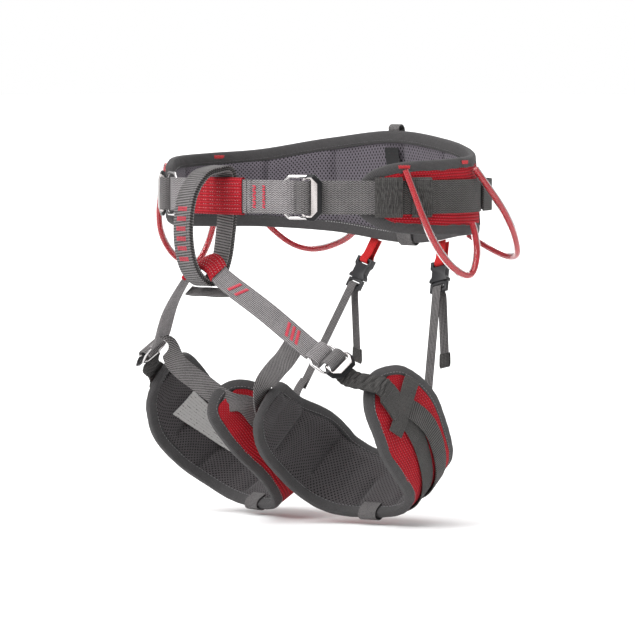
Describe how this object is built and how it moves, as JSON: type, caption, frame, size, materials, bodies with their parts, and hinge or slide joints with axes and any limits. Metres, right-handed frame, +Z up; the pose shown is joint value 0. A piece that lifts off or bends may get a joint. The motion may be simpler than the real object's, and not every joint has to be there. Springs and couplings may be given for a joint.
{
  "type": "climbing harness",
  "caption": "Sit harness with a padded waist belt, leg loops, a belay loop, tie-in sleeves, steel ladder-lock buckles, rear elastic risers and clear gear loops.",
  "frame": {"origin": "centre of the waist opening at the mid height of the belt webbing", "axes": "+X towards the wearer's left, -Y towards the wearer's front, +Z up"},
  "size_m": [0.44, 0.3629, 0.4262],
  "materials": {
    "red_fabric": "woven, matt",
    "grey_fabric": "woven, matt",
    "grey_webbing": "ribbed weave, matt",
    "pad_foam": "closed-cell foam",
    "clear_tube": "clear, glossy",
    "braided_core": "braided",
    "ring_steel": "polished",
    "frame_dark": "dark, satin with bright bevels",
    "black_plastic": "satin",
    "white_label": "matt"
  },
  "bodies": {
    "belt": {"waist_lining": "grey_fabric", "waist_pad_core_left": "pad_foam", "waist_pad_core_right": "pad_foam", "hip_panel_left": "red_fabric", "hip_panel_right": "red_fabric", "back_panel": "grey_fabric", "waist_binding": "grey_fabric", "hip_webbing_left": "grey_webbing", "hip_webbing_right": "grey_webbing", "rear_webbing": "grey_webbing", "front_webbing": "grey_webbing", "upper_tie_in_sleeve": "red_fabric", "hang_loop": "grey_fabric", "size_label": "grey_fabric", "belt_bottom_tab": "grey_fabric", "waist_buckle_ring_left": "ring_steel", "waist_buckle_ring_right": "ring_steel"},
    "belay_loop": {"belay_loop": "grey_fabric"},
    "leg_loops": {"leg_strap": "grey_webbing", "lower_tie_in_sleeve": "red_fabric", "bridge_strap": "grey_fabric", "care_label": "white_label", "leg_panel_left": "red_fabric", "leg_pad_core_left": "pad_foam", "leg_lining_left": "grey_fabric", "leg_binding_left": "grey_fabric", "leg_cross_webbing_left": "grey_webbing", "leg_wrap_webbing_left": "grey_webbing", "leg_buckle_ring_left": "ring_steel", "leg_adjust_sleeve_left": "grey_fabric", "crotch_strap_left": "grey_webbing", "leg_panel_right": "red_fabric", "leg_pad_core_right": "pad_foam", "leg_lining_right": "grey_fabric", "leg_binding_right": "grey_fabric", "leg_cross_webbing_right": "grey_webbing", "leg_wrap_webbing_right": "grey_webbing", "leg_buckle_ring_right": "ring_steel", "leg_adjust_sleeve_right": "grey_fabric", "crotch_strap_right": "grey_webbing"},
    "riser_left": {"riser_tab_left": "red_fabric", "riser_socket_left": "black_plastic", "riser_plug_left": "black_plastic", "riser_strap_left": "grey_webbing"},
    "gear_loop_front_left": {"gear_tube_front_left": "clear_tube", "gear_core_front_left": "braided_core"},
    "gear_loop_rear_left": {"gear_tube_rear_left": "clear_tube", "gear_core_rear_left": "braided_core"},
    "waist_frame_left": {"waist_buckle_frame_left": "frame_dark"},
    "leg_frame_left": {"leg_buckle_frame_left": "frame_dark"},
    "riser_right": {"riser_tab_right": "red_fabric", "riser_socket_right": "black_plastic", "riser_plug_right": "black_plastic", "riser_strap_right": "grey_webbing"},
    "gear_loop_front_right": {"gear_tube_front_right": "clear_tube", "gear_core_front_right": "braided_core"},
    "gear_loop_rear_right": {"gear_tube_rear_right": "clear_tube", "gear_core_rear_right": "braided_core"},
    "waist_frame_right": {"waist_buckle_frame_right": "frame_dark"},
    "leg_frame_right": {"leg_buckle_frame_right": "frame_dark"}
  },
  "joints": [
    {"name": "belay_swing", "type": "hinge", "parent": "belt", "child": "belay_loop", "pos_m": [0, -0.15, -0.021], "axis": [-1, 0, 0], "range_deg": [0, 25]},
    {"name": "leg_pivot", "type": "hinge", "parent": "belay_loop", "child": "leg_loops", "pos_m": [0, -0.1755, -0.0705], "axis": [1, 0, 0], "range_deg": [0, 24.5]},
    {"name": "riser_swing_left", "type": "hinge", "parent": "belt", "child": "riser_left", "pos_m": [0.055, 0.134, -0.06], "axis": [-1, 0, 0], "range_deg": [0, 8]},
    {"name": "gear_loop_lift_front_left", "type": "hinge", "parent": "belt", "child": "gear_loop_front_left", "pos_m": [0.192, -0.0145, -0.0005], "axis": [-0.13, -0.8264, 0.5478], "range_deg": [0, 60]},
    {"name": "gear_loop_lift_rear_left", "type": "hinge", "parent": "belt", "child": "gear_loop_rear_left", "pos_m": [0.13975, 0.09225, -0.0095], "axis": [0.6353, -0.6107, 0.4726], "range_deg": [0, 45]},
    {"name": "waist_frame_tilt_left", "type": "hinge", "parent": "belt", "child": "waist_frame_left", "pos_m": [0.10907, -0.13593, 0], "axis": [0, 0, -1], "range_deg": [0, 30]},
    {"name": "leg_frame_tilt_left", "type": "hinge", "parent": "leg_loops", "child": "leg_frame_left", "pos_m": [0.14387, -0.12484, -0.17366], "axis": [0.0595, -0.8458, -0.5302], "range_deg": [0, 30]},
    {"name": "riser_swing_right", "type": "hinge", "parent": "belt", "child": "riser_right", "pos_m": [-0.055, 0.134, -0.06], "axis": [-1, 0, 0], "range_deg": [0, 8]},
    {"name": "gear_loop_lift_front_right", "type": "hinge", "parent": "belt", "child": "gear_loop_front_right", "pos_m": [-0.192, -0.0145, -0.0005], "axis": [-0.13, 0.8264, -0.5478], "range_deg": [0, 60]},
    {"name": "gear_loop_lift_rear_right", "type": "hinge", "parent": "belt", "child": "gear_loop_rear_right", "pos_m": [-0.13975, 0.09225, -0.0095], "axis": [0.6353, 0.6107, -0.4726], "range_deg": [0, 45]},
    {"name": "waist_frame_tilt_right", "type": "hinge", "parent": "belt", "child": "waist_frame_right", "pos_m": [-0.10907, -0.13593, 0], "axis": [0, 0, 1], "range_deg": [0, 30]},
    {"name": "leg_frame_tilt_right", "type": "hinge", "parent": "leg_loops", "child": "leg_frame_right", "pos_m": [-0.14387, -0.12484, -0.17366], "axis": [0.0595, 0.8458, 0.5302], "range_deg": [0, 30]}
  ],
  "couplings": [
    {"joint": "leg_pivot", "follows": "belay_swing", "ratio": 0.9585},
    {"joint": "riser_swing_left", "follows": "belay_swing", "ratio": 0.305},
    {"joint": "riser_swing_right", "follows": "belay_swing", "ratio": 0.305}
  ]
}
